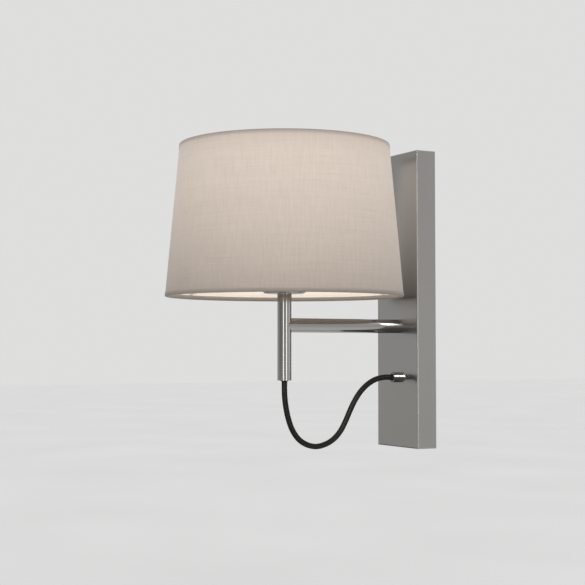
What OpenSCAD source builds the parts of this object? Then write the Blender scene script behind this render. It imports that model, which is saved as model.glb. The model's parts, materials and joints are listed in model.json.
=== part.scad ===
// Wall light: a box-shaped wall plate, a round arm, an upright stem with a
// lampholder and a tapered drum shade, and a flex that hangs in a loop from
// the foot of the stem to a gland on the plate.
// The origin is the centre of the plate's back, on the wall. +Y points into
// the wall, -Y into the room, +Z is up.

/* [Wall plate] */
// Height of the wall plate
plate_h = 300; // [280:1:360]
// Width of the wall plate
plate_w = 76; // [70:1:110]
// Depth of the wall plate, from the wall to its front face
plate_d = 22; // [21:0.5:30]
// Thickness of the plate's sheet metal
plate_t = 1.5; // [1:0.1:1.8]
// Radius along the plate's outer edges
edge_r = 1.2; // [0.6:0.1:1.4]

/* [Wall bracket] */
// Width of the bracket
bracket_w = 50; // [46:1:60]
// Distance between the two fixing slots
slot_spacing = 120; // [110:1:130]
// Width of a fixing slot
slot_w = 5; // [4:0.5:6]
// Length of a fixing slot, end to end
slot_l = 10; // [8:0.5:12]
// Diameter of the supply cable's entry hole
entry_d = 20; // [14:1:24]

/* [Arm and stem] */
// Outside diameter of the arm and of the stem
tube_d = 14; // [14:0.5:15]
// Wall thickness of both tubes
tube_t = 1.25; // [1:0.05:1.5]
// Height of the arm's axis, from the plate's centre
arm_z = -27; // [-30:0.5:-24]

/* [Flex] */
// Diameter of the braided flex
flex_d = 5.6; // [5:0.1:6]
// Diameter of the polished gland
gland_d = 10.5; // [9:0.5:12]
// Length of the gland in front of the plate
gland_l = 6.5; // [5:0.5:7]

/* [Shade] */
// Outside radius of the shade at its bottom edge
shade_r_low = 117; // [110:1:117]
// Outside radius of the shade at its top edge
shade_r_top = 103; // [90:1:110]
// Height of the shade's bottom edge
shade_low = 0.5; // [0:0.5:1]
// Height of the shade's top edge
shade_top = 150; // [145:1:180]
// Diameter of the shade's steel wire
wire_d = 3; // [2.5:0.1:3]
// Height of the rolled hem at both edges
hem_h = 4.1; // [3.5:0.1:4.1]

/* [Lampholder and bulb] */
// Diameter of the metal cup under the lampholder
cup_d = 42; // [41:0.5:46]
// Outside diameter of the lampholder's threaded skirt
skirt_d = 39; // [38:0.5:39]
// Largest diameter of the bulb
bulb_d = 60; // [50:1:60]
// Length of the bulb over its cap
bulb_l = 105; // [98:1:110]

/* [Hidden] */
$fn = 96;

// Plain gaps
gap = 0.3;             // between pieces that move past each other
seat_gap = 0.1;        // between flat faces on different bodies
thread_gap = 0.05;     // radial, between a ring and its thread

// Wall bracket
bracket_t = 1.5;
flange_z = 142;        // outer face of each bent flange
flange_depth = 12;
entry_z = 25;
earth_x = 15;
earth_z = 100;
m4_r = 2;
pan_head_r = 4;
pan_head_h = 2.4;

// Wall plate, seen from inside
inner_front = -(plate_d - plate_t);
inner_half_h = plate_h / 2 - plate_t;
boss_r = 4.2;
boss_h = 5.2;
grub_y = -8;
grub_flush = 0.3;
hex_key_d = 2.3;
hex_key_depth = 2;
backing_t = 3;
backing_w = 56;
backing_h = 44;
stud_l = 10;
stud_x = 22;
stud_z = -102;
tag_t = 0.8;
m4_nut_af = 7;
m4_nut_h = 3.2;

// Arm: the flex's route is drawn for this reach, from the wall to the stem's axis
reach = 152;
arm_r = tube_d / 2;
bore_r = arm_r - tube_t;
insert_l = 18;
bolt_r = 4;
bolt_af = 13;
bolt_head_h = 5.3;
bolt_reach = 14;
washer_r = 8;
washer_t = 1.6;
backing_back = inner_front + backing_t;
washer_back = backing_back + washer_t;

// Stem
stem_top = 4;
stem_foot = -81;
flex_r = flex_d / 2;
bush_l = 8;
bush_lip = 1;
bush_lip_r = 3.7;
stem_insert_l = 14;
nipple_r = 5;
nipple_bore_r = 3.6;
nipple_low = -10;
nipple_top = 12;
nut_af = 14;
nut_h = 2.5;

// Gland
gland_z = -79;
gland_mouth = -plate_d - gland_l;
gland_tail_r = 4;
gland_back = inner_front + 5.5;
gland_nut_af = 12;
gland_nut_h = 3.5;
collar_r = 3.5;
collar_l = 1;
crimp_t = 0.8;
crimp_l = 2;
flex_end = gland_back + crimp_l;

// Lampholder
cup_r = cup_d / 2;
cup_t = 1;
cup_top = 30;
base_low = stem_top + cup_t + nut_h;
base_deck = 20;
base_top = 24;
base_r = cup_r - cup_t - 0.2;
base_well_r = 13;
skirt_r = skirt_d / 2;
skirt_bore_r = 14.6;
skirt_top = 58;
collar_top = 32;
shell_r_in = 13.3;
shell_t = 0.6;
shell_low = 31;
shell_top = 56;
contact_w = 8;
contact_t = 0.6;
contact_foot_x = -9;
contact_bend_x = 6;
contact_tip_x = -5;
holder_pole_r = 1.6;
holder_pole_x = 9;
holder_pole_low = base_deck - 3;
flex_top = nipple_top + 1;
core_r = 1;
bare_core_r = 0.7;

// Bulb
bulb_low = 30;
bulb_r = bulb_d / 2;
cap_r = 13;
cap_root_r = 12.3;
cap_low = bulb_low + 3;
cap_top = bulb_low + 27;
cap_turns = 5;
tip_r = 4.8;
tip_h = 1.4;
neck_r = 13.6;
glass_t = 0.8;

// Shade
slope = (shade_r_low - shade_r_top) / (shade_top - shade_low);
hem_t = 0.3;
fabric_t = 0.5;
liner_t = 0.5;
skin_in = hem_t + fabric_t + liner_t;   // from the outermost hem to the liner's inside
wire_r = wire_d / 2;
ring_z_low = shade_low + hem_t + wire_r;
ring_z_top = shade_top - hem_t - wire_r;
fitter_low = collar_top + seat_gap;
fitter_t = 1.5;
fitter_r_in = skirt_r + 0.5;
fitter_r_out = 28;
arm_wire_r = 1.25;
arm_wire_end = hem_h + shade_low + arm_wire_r + 0.5;
arm_wire_inner = fitter_low - arm_wire_r - 0.05;

// Shade ring
ring_low = fitter_low + fitter_t + seat_gap;
ring_h = 6.5;
ring_r_out = 27;
ring_grips = 24;

// Terminal block
block_w = 30;
block_h = 16;
block_d = 11;
block_z = -118;
pad_t = 1;
pole_pitch = 9;
pole_y = inner_front + 6.5;
pole_r = 1.6;
screw_r = 1.5;
screw_row = 5;
screw_low = pole_y + pole_r + 0.1;
block_back = inner_front + pad_t + block_d;
block_top = block_z + block_h / 2;

// Flex: points of the hanging loop in the plane x = 0, as [y, z]
flex_loop = [
    [-reach, stem_foot - bush_lip], [-152, -90], [-151.5, -99], [-150, -109], [-147.5, -119],
    [-143.5, -129], [-137, -138], [-128, -144], [-117, -146.5], [-106, -144.5],
    [-96.5, -139.5], [-89, -132], [-83.5, -123], [-78.5, -113], [-73, -103],
    [-66, -93.5], [-57.5, -86], [-48, -81], [-38, gland_z], [gland_mouth - 0.5, gland_z]
];

// One core inside the plate, from the end of the flex to its pole, as [x, y, z]
function plate_core(side) = [
    [side * 1.1, flex_end, gland_z],
    [side * 1.1, flex_end + 0.5, gland_z],
    [side * 1.4, flex_end + 2, gland_z - 1],
    [side * 2.5, flex_end + 2.5, gland_z - 4],
    [side * 5, flex_end + 1.5, gland_z - 9],
    [side * 7.5, flex_end, gland_z - 14],
    [side * pole_pitch, pole_y, gland_z - 20],
    [side * pole_pitch, pole_y, block_top - 4]
];

// One core inside the lampholder, from the top of the flex to its terminal
function holder_core(side) = [
    [side * 1.2, -reach, flex_top],
    [side * 1.2, -reach, flex_top + 0.5],
    [side * 2.2, -reach + 0.8, flex_top + 1.4],
    [side * 4.5, -reach + 1.2, flex_top + 2],
    [side * 7, -reach + 1, flex_top + 2.2],
    [side * 8.7, -reach + 0.3, flex_top + 2.7],
    [side * holder_pole_x, -reach, holder_pole_low - 0.5],
    [side * holder_pole_x, -reach, holder_pole_low]
];

function unit(v) = v / norm(v);
function along(route, i) =
    unit(route[min(i + 1, len(route) - 1)] - route[max(i - 1, 0)]);

// A round tube swept along a route that never runs along X
module swept_tube(route, r, sides) {
    rings = len(route);
    points = [
        for (i = [0 : rings - 1])
        let (t = along(route, i), u = unit(cross(t, [1, 0, 0])), v = cross(t, u))
        for (k = [0 : sides - 1])
        route[i] + r * (cos(360 * k / sides) * u + sin(360 * k / sides) * v)
    ];
    walls = [
        for (i = [0 : rings - 2], k = [0 : sides - 1])
        let (a = i * sides + k, b = i * sides + (k + 1) % sides)
        for (face = [[a, a + sides, b], [b, a + sides, b + sides]]) face
    ];
    start_cap = [[for (k = [0 : sides - 1]) k]];
    end_cap = [[for (k = [sides - 1 : -1 : 0]) (rings - 1) * sides + k]];
    polyhedron(points = points, faces = concat(walls, start_cap, end_cap), convexity = 6);
}

// A cylinder along Y, from y_from to y_to
module y_rod(r, y_from, y_to, x = 0, z = 0) {
    translate([x, y_to, z]) rotate([90, 0, 0]) cylinder(r = r, h = y_to - y_from);
}

// A hexagonal prism along Y, across flats af
module y_hex(af, y_from, y_to, x = 0, z = 0) {
    translate([x, y_to, z]) rotate([90, 30, 0])
        cylinder(r = af / sqrt(3), h = y_to - y_from, $fn = 6);
}

module z_tube(r_out, r_in, z_from, z_to) {
    difference() {
        translate([0, 0, z_from]) cylinder(r = r_out, h = z_to - z_from);
        translate([0, 0, z_from - 1]) cylinder(r = r_in, h = z_to - z_from + 2);
    }
}

module at_stem() {
    translate([0, -reach, 0]) children();
}

module rounded_rect(w, h, r) {
    square([w - 2 * r, h], center = true);
    square([w, h - 2 * r], center = true);
    for (sx = [-1, 1], sy = [-1, 1])
        translate([sx * (w / 2 - r), sy * (h / 2 - r)]) circle(r = r);
}

// Section of the plate with rounded front corners and a square back
module front_profile(w) {
    translate([0, -plate_d / 2]) rounded_rect(w, plate_d, edge_r);
    translate([-w / 2, -plate_d / 2]) square([w, plate_d / 2]);
}

module plate_block() {
    intersection() {
        linear_extrude(height = plate_h, center = true) front_profile(plate_w);
        rotate([0, 90, 0]) linear_extrude(height = plate_w, center = true) front_profile(plate_h);
        rotate([90, 0, 0]) linear_extrude(height = plate_d) rounded_rect(plate_w, plate_h, edge_r);
    }
}

module slot_cut(z) {
    for (end = [-1, 1]) y_rod(slot_w / 2, -bracket_t - 1, 1, 0, z + end * (slot_l - slot_w) / 2);
    translate([-slot_w / 2, -bracket_t - 1, z - (slot_l - slot_w) / 2])
        cube([slot_w, bracket_t + 2, slot_l - slot_w]);
}

module wall_bracket() color("lightgray") {
    difference() {
        union() {
            translate([-bracket_w / 2, -bracket_t, -flange_z])
                cube([bracket_w, bracket_t, 2 * flange_z]);
            for (side = [-1, 1])
                translate([-bracket_w / 2, -flange_depth, side * (flange_z - bracket_t / 2) - bracket_t / 2])
                    cube([bracket_w, flange_depth, bracket_t]);
        }
        for (side = [-1, 1]) slot_cut(side * slot_spacing / 2);
        y_rod(entry_d / 2, -bracket_t - 1, 1, 0, entry_z);
        y_rod(m4_r, -bracket_t - 1, 1, -earth_x, earth_z);
    }
}

module bracket_earth_screw() color("goldenrod") {
    y_rod(m4_r, -bracket_t, 0, -earth_x, earth_z);
    difference() {
        y_rod(pan_head_r, -bracket_t - pan_head_h, -bracket_t, -earth_x, earth_z);
        translate([-earth_x - pan_head_r, -bracket_t - pan_head_h - 1, earth_z - 0.5])
            cube([2 * pan_head_r, 2, 1]);
    }
}

module wall_plate() color("darkgray") {
    difference() {
        plate_block();
        translate([-plate_w / 2 + plate_t, inner_front, -inner_half_h])
            cube([plate_w - 2 * plate_t, plate_d, 2 * inner_half_h]);
        y_rod(bolt_r, -plate_d - 1, inner_front + 1, 0, arm_z);
        y_rod(gland_tail_r, -plate_d - 1, inner_front + 1, 0, gland_z);
        for (side = [-1, 1])
            translate([0, grub_y, side * (plate_h / 2 - plate_t / 2)])
                cylinder(r = m4_r, h = plate_t + 2, center = true);
    }
}

module grub_bosses() color("gray") {
    for (side = [-1, 1])
        translate([0, grub_y, side * (inner_half_h - boss_h / 2)])
            difference() {
                cylinder(r = boss_r, h = boss_h, center = true);
                cylinder(r = m4_r, h = boss_h + 2, center = true);
            }
}

module grub_screws() color("dimgray") {
    tip = flange_z + gap;
    head = plate_h / 2 - grub_flush;
    for (side = [0, 1])
        mirror([0, 0, side]) translate([0, grub_y, tip])
            difference() {
                cylinder(r = m4_r, h = head - tip);
                translate([0, 0, head - tip - hex_key_depth])
                    cylinder(d = hex_key_d, h = hex_key_depth + 1, $fn = 6);
            }
}

module backing_plate() color("silver") {
    difference() {
        translate([-backing_w / 2, inner_front, arm_z - backing_h / 2])
            cube([backing_w, backing_t, backing_h]);
        y_rod(bolt_r, inner_front - 1, backing_back + 1, 0, arm_z);
    }
}

module earth_stud() color("goldenrod") {
    y_rod(m4_r, inner_front, inner_front + stud_l, stud_x, stud_z);
}

module earth_tag() color("gold") {
    difference() {
        union() {
            y_rod(pan_head_r, inner_front, inner_front + tag_t, stud_x, stud_z);
            translate([stud_x - 2, inner_front, stud_z]) cube([4, tag_t, 11]);
        }
        y_rod(m4_r, inner_front - 1, inner_front + tag_t + 1, stud_x, stud_z);
    }
}

module earth_nut() color("goldenrod") {
    nut_front = inner_front + tag_t;
    difference() {
        y_hex(m4_nut_af, nut_front, nut_front + m4_nut_h, stud_x, stud_z);
        y_rod(m4_r, nut_front - 1, nut_front + m4_nut_h + 1, stud_x, stud_z);
    }
}

module arm() color("darkgray") {
    difference() {
        y_rod(arm_r, -reach, -plate_d, 0, arm_z);
        y_rod(bore_r, -reach - 1, -plate_d + 1, 0, arm_z);
        at_stem() translate([0, 0, arm_z - 2 * arm_r]) cylinder(r = arm_r, h = 4 * arm_r);
    }
}

module arm_insert() color("silver") {
    difference() {
        y_rod(bore_r, -plate_d - insert_l, -plate_d, 0, arm_z);
        y_rod(bolt_r, -plate_d - bolt_reach, -plate_d + 1, 0, arm_z);
    }
}

module arm_bolt() color("gray") {
    y_rod(bolt_r, -plate_d - bolt_reach + 1, washer_back + 1, 0, arm_z);
    y_hex(bolt_af, washer_back, washer_back + bolt_head_h, 0, arm_z);
}

module arm_washer() color("silver") {
    difference() {
        y_rod(washer_r, backing_back, washer_back, 0, arm_z);
        y_rod(bolt_r, backing_back - 1, washer_back + 1, 0, arm_z);
    }
}

module stem() color("darkgray") {
    at_stem() z_tube(arm_r, bore_r, stem_foot, stem_top);
}

module stem_bush() color("black") {
    at_stem() {
        z_tube(bore_r, flex_r, stem_foot, stem_foot + bush_l);
        z_tube(bush_lip_r, flex_r, stem_foot - bush_lip, stem_foot);
    }
}

module stem_insert() color("goldenrod") {
    at_stem() z_tube(bore_r, nipple_r, stem_top - stem_insert_l, stem_top);
}

module stem_nipple() color("silver") {
    at_stem() z_tube(nipple_r, nipple_bore_r, nipple_low, nipple_top);
}

module nipple_nut() color("silver") {
    at_stem() translate([0, 0, stem_top + cup_t])
        difference() {
            cylinder(r = nut_af / sqrt(3), h = nut_h, $fn = 6);
            translate([0, 0, -1]) cylinder(r = nipple_r, h = nut_h + 2);
        }
}

module holder_cup() color("darkgray") {
    at_stem() difference() {
        translate([0, 0, stem_top]) cylinder(r = cup_r, h = cup_top - stem_top);
        translate([0, 0, stem_top + cup_t]) cylinder(r = cup_r - cup_t, h = cup_top);
        translate([0, 0, stem_top - 1]) cylinder(r = nipple_r, h = cup_t + 2);
    }
}

module holder_base() color("ivory") {
    at_stem() difference() {
        translate([0, 0, base_low]) cylinder(r = base_r, h = base_top - base_low);
        translate([0, 0, base_low - 1]) cylinder(r = nipple_r, h = nipple_top - base_low + 2);
        translate([0, 0, nipple_top]) cylinder(r = base_well_r, h = base_deck - nipple_top);
        for (side = [-1, 1])
            translate([side * holder_pole_x, 0, base_deck - 1])
                cylinder(r = holder_pole_r, h = base_top - base_deck + 2);
    }
}

module holder_skirt() color("ivory") {
    at_stem() {
        z_tube(cup_r, skirt_bore_r, cup_top, collar_top);
        z_tube(skirt_r, skirt_bore_r, base_top, cup_top);
        z_tube(skirt_r, skirt_bore_r, collar_top, skirt_top);
    }
}

// Screw shell of the lampholder: a rolled brass sleeve
module screw_shell() color("goldenrod") {
    shell_r_out = shell_r_in + shell_t;
    at_stem() {
        z_tube(shell_r_out, shell_r_in, shell_low, shell_top);
        z_tube(skirt_bore_r, shell_r_in, shell_low, shell_low + 2);
    }
}

// Contact spring: a foot on the base, an upright and a tongue under the bulb
module centre_contact() color("goldenrod") {
    tongue_low = bulb_low - gap - contact_t;
    at_stem() {
        translate([contact_foot_x, -contact_w / 2, base_top])
            cube([contact_bend_x - contact_foot_x, contact_w, contact_t]);
        translate([contact_bend_x - contact_t, -contact_w / 2, base_top + contact_t])
            cube([contact_t, contact_w, tongue_low - base_top - contact_t]);
        translate([contact_tip_x, -contact_w / 2, tongue_low])
            cube([contact_bend_x - contact_tip_x, contact_w, contact_t]);
    }
}

module holder_terminals() color("goldenrod") {
    at_stem() for (side = [-1, 1])
        translate([side * holder_pole_x, 0, holder_pole_low])
            cylinder(r = holder_pole_r, h = base_top - holder_pole_low);
}

// Bare cores from the top of the flex to the lampholder's terminals
module holder_cores() color("saddlebrown") {
    for (side = [-1, 1]) swept_tube(holder_core(side), bare_core_r, 8);
}

module flex() color("black") {
    swept_tube([for (p = flex_loop) [0, p[0], p[1]]], flex_r, 12);
}

module flex_in_stem() color("black") {
    at_stem() translate([0, 0, stem_foot - bush_lip])
        cylinder(r = flex_r, h = flex_top - stem_foot + bush_lip);
}

module flex_tail() color("black") {
    y_rod(flex_r, gland_mouth - 0.5, flex_end, 0, gland_z);
}

module flex_gland() color("silver") {
    difference() {
        union() {
            y_rod(gland_d / 2, gland_mouth, -plate_d, 0, gland_z);
            y_rod(gland_tail_r, -plate_d, gland_back, 0, gland_z);
        }
        y_rod(flex_r, gland_mouth - 1, gland_back + 1, 0, gland_z);
    }
}

module gland_collar() color("black") {
    difference() {
        y_rod(collar_r, gland_mouth - collar_l, gland_mouth, 0, gland_z);
        y_rod(flex_r, gland_mouth - collar_l - 1, gland_mouth + 1, 0, gland_z);
    }
}

module gland_nut() color("silver") {
    difference() {
        y_hex(gland_nut_af, inner_front, inner_front + gland_nut_h, 0, gland_z);
        y_rod(gland_tail_r, inner_front - 1, inner_front + gland_nut_h + 1, 0, gland_z);
    }
}

// Crimped sleeve that stops the flex from being pulled out of the gland
module flex_crimp() color("silver") {
    difference() {
        y_rod(flex_r + crimp_t, gland_back, flex_end, 0, gland_z);
        y_rod(flex_r, gland_back - 1, flex_end + 1, 0, gland_z);
    }
}

module plate_cores() color("saddlebrown") {
    for (side = [-1, 0, 1]) swept_tube(plate_core(side), core_r, 8);
}

module terminal_block() color("white") {
    difference() {
        translate([-block_w / 2, inner_front + pad_t, block_z - block_h / 2])
            cube([block_w, block_d, block_h]);
        for (pole = [-1, 0, 1]) {
            translate([pole * pole_pitch, pole_y, block_z - block_h])
                cylinder(r = pole_r, h = 2 * block_h);
            for (row = [-1, 1])
                y_rod(screw_r, pole_y, block_back + 1, pole * pole_pitch, block_z + row * screw_row);
        }
    }
}

module terminal_screws() color("goldenrod") {
    for (pole = [-1, 0, 1], row = [-1, 1])
        y_rod(screw_r, screw_low, block_back - 0.5, pole * pole_pitch, block_z + row * screw_row);
}

module block_pad() color("whitesmoke") {
    translate([-block_w / 2, inner_front, block_z - block_h / 2])
        cube([block_w, pad_t, block_h]);
}

// One conical skin of the shade, inset from the outermost surface
module shade_skin(inset, thickness) {
    height = shade_top - shade_low - 2 * hem_t;
    low_r = shade_r_low - inset - slope * hem_t;
    top_r = shade_r_top - inset + slope * hem_t;
    at_stem() translate([0, 0, shade_low + hem_t]) difference() {
        cylinder(r1 = low_r, r2 = top_r, h = height);
        translate([0, 0, -1])
            cylinder(r1 = low_r - thickness + slope, r2 = top_r - thickness - slope, h = height + 2);
    }
}

module shade_fabric() color("tan") {
    shade_skin(hem_t, fabric_t);
}

module shade_liner() color("ivory") {
    shade_skin(hem_t + fabric_t, liner_t);
}

// Folded hem tape: outer leg, turned edge and inner leg round the wire.
// up is 1 at the bottom edge and -1 at the top edge.
module hem(edge_r_out, edge_z, up) {
    leg = up * hem_h;
    lean = -up * slope * hem_h;
    inner = edge_r_out - skin_in - wire_d - 0.3;
    at_stem() rotate_extrude($fn = 128) polygon([
        [edge_r_out, edge_z], [edge_r_out + lean, edge_z + leg],
        [edge_r_out + lean - hem_t, edge_z + leg],
        [edge_r_out - up * slope * hem_t - hem_t, edge_z + up * hem_t],
        [inner, edge_z + up * hem_t], [inner + lean, edge_z + leg],
        [inner + lean - hem_t, edge_z + leg], [inner - hem_t, edge_z]
    ]);
}

module bottom_hem() color("rosybrown") {
    hem(shade_r_low, shade_low, 1);
}

module top_hem() color("rosybrown") {
    hem(shade_r_top, shade_top, -1);
}

module wire_ring(r, z) {
    at_stem() translate([0, 0, z]) rotate_extrude($fn = 128)
        translate([r, 0]) circle(r = wire_r, $fn = 32);
}

module bottom_ring() color("white") {
    wire_ring(shade_r_low - skin_in - wire_r - 0.25, ring_z_low);
}

module top_ring() color("white") {
    wire_ring(shade_r_top - skin_in - wire_r - 0.1, ring_z_top);
}

// Three wires from the bottom ring up to the fitter, one towards the wall
module spider_arms() color("white") {
    outer = shade_r_low - skin_in - wire_d;
    run = outer - fitter_r_out + 4;
    rise = arm_wire_inner - arm_wire_end;
    length = norm([run, rise]);
    at_stem() for (turn = [90, 210, 330])
        rotate([0, 0, turn]) translate([outer, 0, arm_wire_end])
            rotate([0, -atan2(run, rise), 0]) cylinder(r = arm_wire_r, h = length);
}

module fitter_ring() color("white") {
    at_stem() z_tube(fitter_r_out, fitter_r_in, fitter_low, fitter_low + fitter_t);
}

module shade_ring() color("ivory") {
    at_stem() difference() {
        z_tube(ring_r_out, skirt_r + thread_gap, ring_low, ring_low + ring_h);
        for (k = [0 : ring_grips - 1])
            rotate([0, 0, 360 * k / ring_grips]) translate([ring_r_out + 1, 0, ring_low + 1.5])
                cylinder(r = 2, h = ring_h);
    }
}

// Outline of the bulb's glass from its neck to its crown
glass_low = cap_top - 2;
glass_top = bulb_low + bulb_l;
ball_z = glass_top - bulb_r;
shoulder = [for (k = [0 : 8]) let (t = k / 8, s = t * t * (3 - 2 * t))
    [neck_r + (bulb_r - neck_r) * s, glass_low + 4 + (ball_z - glass_low - 4) * t]];
crown = [for (a = [6 : 6 : 90]) [bulb_r * cos(a), ball_z + bulb_r * sin(a)]];

module glass_solid(inset) {
    rotate_extrude() polygon(concat(
        [[0, glass_low], [cap_root_r - 0.6 - inset, glass_low], [cap_root_r - 0.6 - inset, cap_top],
            [neck_r - inset, cap_top + 0.5]],
        [for (p = shoulder) if (p[1] > cap_top + 1) [p[0] - inset, p[1]]],
        [for (p = crown) [max(0, p[0] * (1 - inset / bulb_r)), ball_z + (p[1] - ball_z) * (1 - inset / bulb_r)]]
    ));
}

module bulb_glass() color("white") {
    at_stem() difference() {
        glass_solid(0);
        glass_solid(glass_t);
    }
}

// Cap with a rolled thread, as a stack of rounded turns
module bulb_cap() color("silver") {
    pitch = (cap_top - cap_low - 4) / cap_turns;
    wave = [for (k = [0 : cap_turns * 6])
        [(cap_r + cap_root_r) / 2 + (cap_r - cap_root_r) / 2 * cos(60 * k), cap_low + 1.5 + k * pitch / 6]];
    at_stem() rotate_extrude() polygon(concat(
        [[9, cap_low], [cap_root_r, cap_low]], wave,
        [[cap_root_r, cap_top - 2], [cap_root_r, cap_top],
            [cap_root_r - 0.5, cap_top], [cap_root_r - 0.5, cap_low + 0.5], [9, cap_low + 0.5]]
    ));
}

module bulb_insulator() color("black") {
    at_stem() translate([0, 0, bulb_low + tip_h])
        cylinder(r1 = tip_r, r2 = 9, h = cap_low - bulb_low - tip_h);
}

module bulb_contact() color("silver") {
    at_stem() translate([0, 0, bulb_low]) cylinder(r = tip_r, h = tip_h);
}

// Light source on its glass stem inside the bulb
module bulb_stem() color("lightyellow") {
    at_stem() {
        translate([0, 0, cap_low + 0.5]) cylinder(r = 8, h = 4);
        translate([0, 0, cap_low + 4.5]) cylinder(r1 = 8, r2 = 4, h = cap_top - cap_low + 8);
        translate([0, 0, cap_top + 12.5]) cylinder(r = 4, h = 22);
    }
}

wall_bracket();
bracket_earth_screw();
wall_plate();
grub_bosses();
grub_screws();
backing_plate();
earth_stud();
earth_tag();
earth_nut();
arm();
arm_insert();
arm_bolt();
arm_washer();
stem();
stem_bush();
stem_insert();
stem_nipple();
nipple_nut();
holder_cup();
holder_base();
holder_skirt();
screw_shell();
centre_contact();
holder_terminals();
holder_cores();
flex();
flex_in_stem();
flex_tail();
flex_gland();
gland_collar();
gland_nut();
flex_crimp();
plate_cores();
terminal_block();
terminal_screws();
block_pad();
shade_fabric();
shade_liner();
bottom_hem();
top_hem();
bottom_ring();
top_ring();
spider_arms();
fitter_ring();
shade_ring();
bulb_glass();
bulb_cap();
bulb_insulator();
bulb_contact();
bulb_stem();
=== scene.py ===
"""Looks of a wall light: materials, woven and turned pieces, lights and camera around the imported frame."""

import json
import math

import bpy
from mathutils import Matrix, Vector, noise


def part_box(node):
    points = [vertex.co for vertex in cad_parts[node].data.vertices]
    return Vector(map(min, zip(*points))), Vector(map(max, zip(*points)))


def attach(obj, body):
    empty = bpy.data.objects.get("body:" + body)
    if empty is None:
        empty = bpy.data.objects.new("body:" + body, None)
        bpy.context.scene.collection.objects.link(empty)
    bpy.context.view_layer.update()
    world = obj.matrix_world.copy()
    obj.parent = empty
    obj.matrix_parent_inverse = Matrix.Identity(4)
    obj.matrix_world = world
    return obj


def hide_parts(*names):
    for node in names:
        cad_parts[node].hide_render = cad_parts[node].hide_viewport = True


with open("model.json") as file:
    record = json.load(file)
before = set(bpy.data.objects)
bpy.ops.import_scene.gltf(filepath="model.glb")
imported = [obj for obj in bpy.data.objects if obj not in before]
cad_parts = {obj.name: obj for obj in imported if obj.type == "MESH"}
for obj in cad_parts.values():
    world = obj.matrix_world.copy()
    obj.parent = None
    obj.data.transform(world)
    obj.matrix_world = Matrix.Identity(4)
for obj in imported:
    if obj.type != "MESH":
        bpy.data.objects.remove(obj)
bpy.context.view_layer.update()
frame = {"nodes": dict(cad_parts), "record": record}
NODES = frame["nodes"]
MM = 0.001


def centre(node):
    low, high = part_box(node)
    return (low + high) / 2


STEM_Y = centre("stem").y


# ---------------------------------------------------------------- camera

def make_camera():
    data = bpy.data.cameras.new("camera")
    data.lens = 81.85
    data.sensor_width = 36
    data.clip_end = 200
    camera = bpy.data.objects.new("camera", data)
    camera.location = (1.1556, -0.7534, -0.0533)
    camera.rotation_euler = (math.radians(92.564), 0, math.radians(62.16))
    bpy.context.scene.collection.objects.link(camera)
    bpy.context.scene.camera = camera


make_camera()


# ---------------------------------------------------------------- meshes

def add_mesh(name, points, faces, body, sharp=40):
    mesh = bpy.data.meshes.new(name)
    mesh.from_pydata([tuple(p) for p in points], [], faces)
    mesh.validate()
    mesh.polygons.foreach_set("use_smooth", [True] * len(mesh.polygons))
    mesh.set_sharp_from_angle(angle=math.radians(sharp))
    piece = bpy.data.objects.new(name, mesh)
    bpy.context.scene.collection.objects.link(piece)
    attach(piece, body)
    return piece


def ring_faces(rows, around, closed_rows=False):
    faces = []
    last = rows if closed_rows else rows - 1
    for i in range(last):
        for k in range(around):
            a, b = i * around + k, i * around + (k + 1) % around
            c, d = ((i + 1) % rows) * around + (k + 1) % around, ((i + 1) % rows) * around + k
            faces.append((a, b, c, d))
    return faces


def lathe(name, outline, body, around=96, shift=None, sharp=40):
    """Turns a closed outline of (radius, height) about the stem. shift(angle, r, z) moves a radius."""
    points = []
    for r, z in outline:
        for k in range(around):
            a = 2 * math.pi * k / around
            out = r + (shift(a, r, z) if shift else 0)
            points.append((out * math.cos(a), STEM_Y + out * math.sin(a), z))
    return add_mesh(name, points, ring_faces(len(outline), around, True), body, sharp)


def lathe_y(name, outline, body, x, z, around=96, shift=None, sharp=40):
    """Turns a closed outline of (radius, y) about an axis along Y."""
    points = []
    for r, y in outline:
        for k in range(around):
            a = 2 * math.pi * k / around
            out = r + (shift(a, r, y) if shift else 0)
            points.append((x + out * math.sin(a), y, z + out * math.cos(a)))
    return add_mesh(name, points, ring_faces(len(outline), around, True), body, sharp)


def arc(cx, cz, r, start, end, steps):
    """Points round a quarter or other arc, angles in degrees, as (radius, height)."""
    return [
        (cx + r * math.cos(math.radians(start + (end - start) * i / steps)),
         cz + r * math.sin(math.radians(start + (end - start) * i / steps)))
        for i in range(steps + 1)
    ]


def smooth_path(points, step):
    """A smooth line through the points, sampled about every step metres."""
    points = [Vector(p) for p in points]
    ends = [2 * points[0] - points[1], *points, 2 * points[-1] - points[-2]]
    dense = []
    for i in range(1, len(ends) - 2):
        a, b, c, d = ends[i - 1:i + 3]
        for j in range(24):
            t = j / 24
            dense.append(0.5 * ((2 * b) + (c - a) * t + (2 * a - 5 * b + 4 * c - d) * t * t
                                + (3 * b - a - 3 * c + d) * t ** 3))
    dense.append(points[-1])
    lengths = [0.0]
    for p, q in zip(dense, dense[1:]):
        lengths.append(lengths[-1] + (q - p).length)
    count = round(lengths[-1] / step)
    line, j = [], 0
    for i in range(count + 1):
        want = lengths[-1] * i / count
        while j < len(lengths) - 2 and lengths[j + 1] < want:
            j += 1
        share = (want - lengths[j]) / max(lengths[j + 1] - lengths[j], 1e-12)
        line.append(dense[j].lerp(dense[j + 1], min(max(share, 0), 1)))
    return line, lengths[-1]


# ---------------------------------------------------------------- flex

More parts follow.
